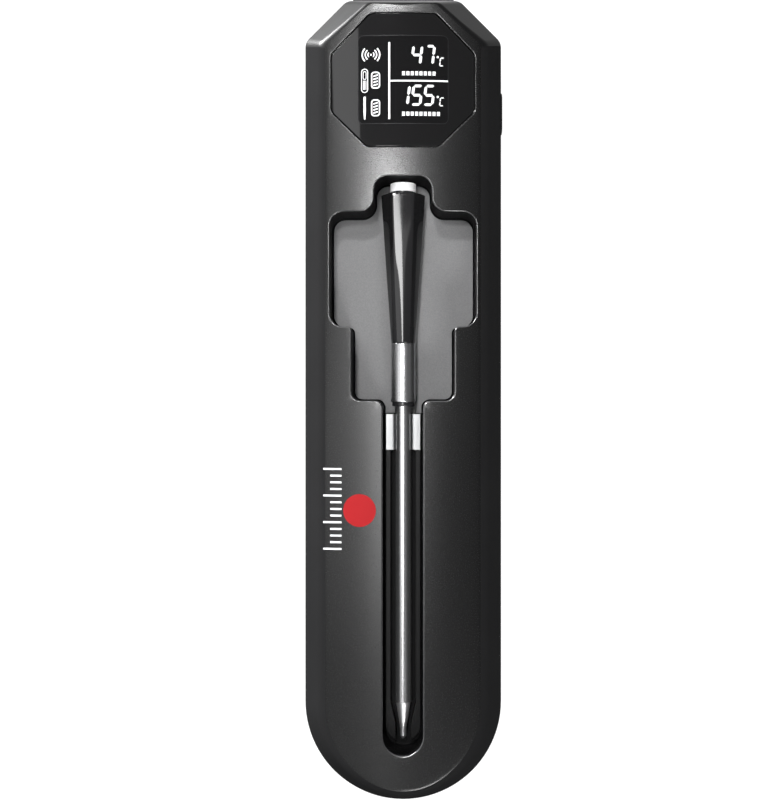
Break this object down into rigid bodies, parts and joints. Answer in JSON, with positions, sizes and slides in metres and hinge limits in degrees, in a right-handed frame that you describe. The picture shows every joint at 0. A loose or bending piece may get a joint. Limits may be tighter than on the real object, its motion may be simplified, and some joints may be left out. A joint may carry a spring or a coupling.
{
  "type": "wireless meat thermometer",
  "caption": "Wireless meat thermometer: a steel probe with a six-sided grip, lying in a long black charging dock with a display window, tray and groove.",
  "frame": {"origin": "centre of the dock's rest face, on the rubber pad under its back", "axes": "+Z out of the front face, +Y towards the display end, +X to the right seen from the front"},
  "size_m": [0.0481, 0.1948, 0.022],
  "materials": {
    "case_black": "satin black moulded plastic",
    "cover_black": "matte black moulded plastic",
    "tray_grey": "grey fine-textured plastic",
    "window_gloss": "glossy black window",
    "inner_black": "black",
    "inner_white": "white",
    "display_glass": "display glass stack, opaque",
    "flex_amber": "amber film",
    "board_green": "green circuit board",
    "screw_steel": "zinc-plated steel",
    "tin_plate": "tinned sheet steel",
    "button_black": "satin black",
    "battery_foil": "foil pouch",
    "seal_rubber": "soft dark rubber",
    "lead_red": "red insulation",
    "lead_blue": "blue insulation",
    "contact_steel": "bright nickel-plated spring steel",
    "contact_brass": "gold-plated brass",
    "magnet_nickel": "nickel-plated magnet",
    "contact_dark": "black-plated pin",
    "pad_rubber": "black rubber",
    "flap_rubber": "grey rubber",
    "cap_steel": "bright polished steel",
    "probe_black": "glossy black",
    "handle_gloss": "glossy black ceramic",
    "probe_steel": "polished stainless steel",
    "sensor_amber": "sealed bead"
  },
  "bodies": {
    "root": {"front_shell": "case_black", "rear_cover": "cover_black", "tray_floor": "tray_grey", "display_lens": "window_gloss", "lens_adhesive": "inner_black", "display_module": "display_glass", "display_frame": "inner_white", "display_flex": "flex_amber", "main_board": "board_green", "board_screws": "screw_steel", "radio_shield": "tin_plate", "buzzer": "inner_black", "usb_socket": "tin_plate", "side_switch": "inner_black", "battery_cell": "battery_foil", "battery_foam": "seal_rubber", "battery_leads": "lead_red", "contact_clip": "contact_steel", "contact_leads": "lead_blue", "contact_sleeve": "contact_brass", "contact_spring": "screw_steel", "case_seal": "seal_rubber", "case_screws": "screw_steel", "dock_magnets": "magnet_nickel", "rear_pad": "pad_rubber", "flap_pin": "screw_steel"},
    "probe": {"probe_cap": "cap_steel", "cap_insulator": "probe_black", "probe_handle": "handle_gloss", "probe_ferrule": "probe_steel", "ferrule_seal": "probe_black", "probe_shaft": "probe_steel", "probe_tip": "probe_steel", "probe_antenna": "inner_white", "probe_board": "board_green", "probe_cell": "battery_foil", "ambient_sensor": "sensor_amber", "tip_sensor": "sensor_amber"},
    "side_button": {"side_button": "button_black", "switch_plunger": "inner_white"},
    "contact_plunger": {"contact_plunger": "contact_dark"},
    "port_flap": {"port_flap": "flap_rubber"}
  },
  "joints": [
    {"name": "probe_lift", "type": "slide", "parent": "root", "child": "probe", "axis": [0, 0, 1], "range_m": [0, 0.03]},
    {"name": "button_press", "type": "slide", "parent": "root", "child": "side_button", "axis": [-1, 0, 0], "range_m": [0, 0.00025], "stiffness_N_per_m": 1500},
    {"name": "plunger_press", "type": "slide", "parent": "root", "child": "contact_plunger", "axis": [0, 1, 0], "range_m": [0, 0.0008], "stiffness_N_per_m": 600, "deforming": ["contact_spring"]},
    {"name": "flap_hinge", "type": "hinge", "parent": "root", "child": "port_flap", "pos_m": [0, 0.09575, 0.00375], "axis": [-1, 0, 0], "range_deg": [0, 90]}
  ]
}
